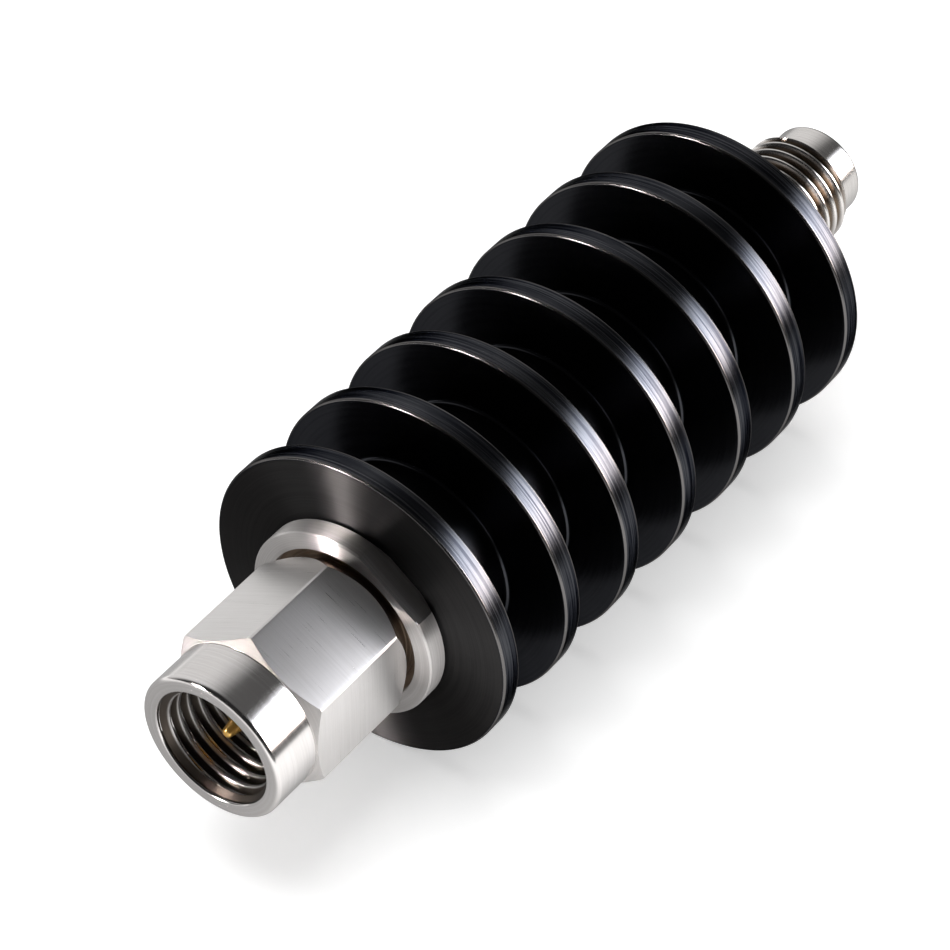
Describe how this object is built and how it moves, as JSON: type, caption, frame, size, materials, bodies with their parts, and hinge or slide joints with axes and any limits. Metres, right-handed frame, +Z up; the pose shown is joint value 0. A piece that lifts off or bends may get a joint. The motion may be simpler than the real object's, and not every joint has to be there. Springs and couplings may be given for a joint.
{
  "type": "rf attenuator",
  "caption": "Inline coaxial attenuator: a black round-finned heat sink between a plug with a captive hex coupling nut and centre pin and a threaded jack with a slotted socket.",
  "frame": {"origin": "centre of the plug's reference face, where its outer conductor meets the mating connector", "axes": "+X along the common axis from the plug to the jack, +Z up, a corner of the coupling nut's hexagon at the top"},
  "size_m": [0.0511, 0.0168, 0.0168],
  "materials": {
    "black_anodised": "black anodised, finely turned",
    "stainless_steel": "bright turned stainless steel",
    "gold_plate": "gold plated",
    "ring_metal": "plain spring metal",
    "bare_aluminium": "milled",
    "ceramic": "matt fired ceramic with a printed resistor film",
    "amber_plastic": "amber engineering plastic",
    "gasket_rubber": "matt silicone rubber"
  },
  "bodies": {
    "body": {"heat_sink": "black_anodised", "plug_shell": "stainless_steel", "nut_gasket": "gasket_rubber", "plug_pin": "gold_plate", "plug_bead": "amber_plastic", "plug_bushing": "ring_metal", "plug_contact": "gold_plate", "front_ground_washer": "gold_plate", "carrier_upper": "bare_aluminium", "carrier_lower": "bare_aluminium", "attenuator_chip": "ceramic", "ground_spring_left": "gold_plate", "ground_spring_right": "gold_plate", "rear_ground_washer": "gold_plate", "jack_contact": "gold_plate", "jack_bushing": "ring_metal", "jack_bead": "amber_plastic", "jack_socket": "gold_plate", "jack_shell": "stainless_steel"},
    "snap_ring": {"nut_snap_ring": "ring_metal"},
    "nut": {"coupling_nut": "stainless_steel"}
  },
  "joints": [
    {"name": "nut_float", "type": "slide", "parent": "body", "child": "snap_ring", "axis": [1, 0, 0], "range_m": [-0.0002, 0.0002]},
    {"name": "nut_spin", "type": "hinge", "parent": "snap_ring", "child": "nut", "pos_m": [0.0045, 0, 0], "axis": [1, 0, 0], "continuous": true}
  ]
}
